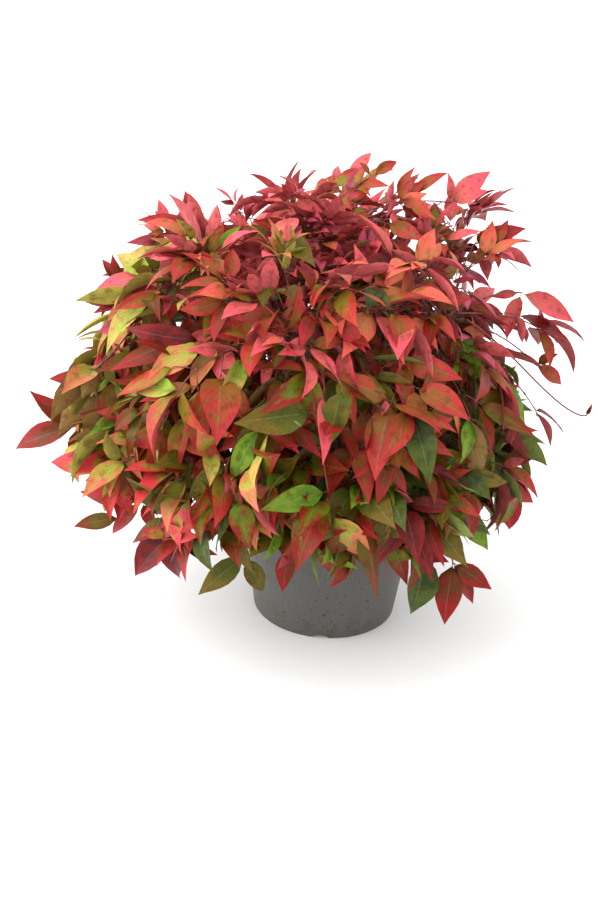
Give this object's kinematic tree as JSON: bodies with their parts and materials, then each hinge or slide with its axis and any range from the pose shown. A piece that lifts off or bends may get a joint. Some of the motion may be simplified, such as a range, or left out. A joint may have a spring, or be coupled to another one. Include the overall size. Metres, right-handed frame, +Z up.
{
  "type": "potted heavenly bamboo",
  "caption": "Compact leafy evergreen shrub with slender canes and a dome of pointed red, coral and green leaflets, standing in a round grey nursery pot.",
  "frame": {"origin": "middle of the pot's flat underside", "axes": "+Z up, -Y towards the front that the crown was judged from, +X to the right of that front"},
  "size_m": [0.5014, 0.4646, 0.4162],
  "materials": {
    "pot": "matt mid grey, finely grained",
    "soil": "dark brown peat and bark potting mix",
    "cane": "brown, finely ridged bark",
    "foliage_top": "satin rose-red young leaves",
    "foliage_upper": "satin coral and crimson leaves",
    "foliage_lower": "satin green, lime and bronze leaves"
  },
  "bodies": {
    "root": {"pot": "pot", "soil": "soil", "cane_top": "cane", "cane_upper_1": "cane", "cane_upper_2": "cane", "cane_upper_3": "cane", "cane_upper_4": "cane", "cane_upper_5": "cane", "cane_lower_1": "cane", "cane_lower_2": "cane", "cane_lower_3": "cane", "cane_lower_4": "cane", "cane_lower_5": "cane", "cane_lower_6": "cane", "cane_lower_7": "cane", "cane_lower_8": "cane", "foliage_top": "foliage_top", "foliage_upper_1": "foliage_upper", "foliage_upper_2": "foliage_upper", "foliage_upper_3": "foliage_upper", "foliage_upper_4": "foliage_upper", "foliage_upper_5": "foliage_upper", "foliage_lower_1": "foliage_lower", "foliage_lower_2": "foliage_lower", "foliage_lower_3": "foliage_lower", "foliage_lower_4": "foliage_lower", "foliage_lower_5": "foliage_lower", "foliage_lower_6": "foliage_lower", "foliage_lower_7": "foliage_lower", "foliage_lower_8": "foliage_lower"}
  },
  "joints": []
}
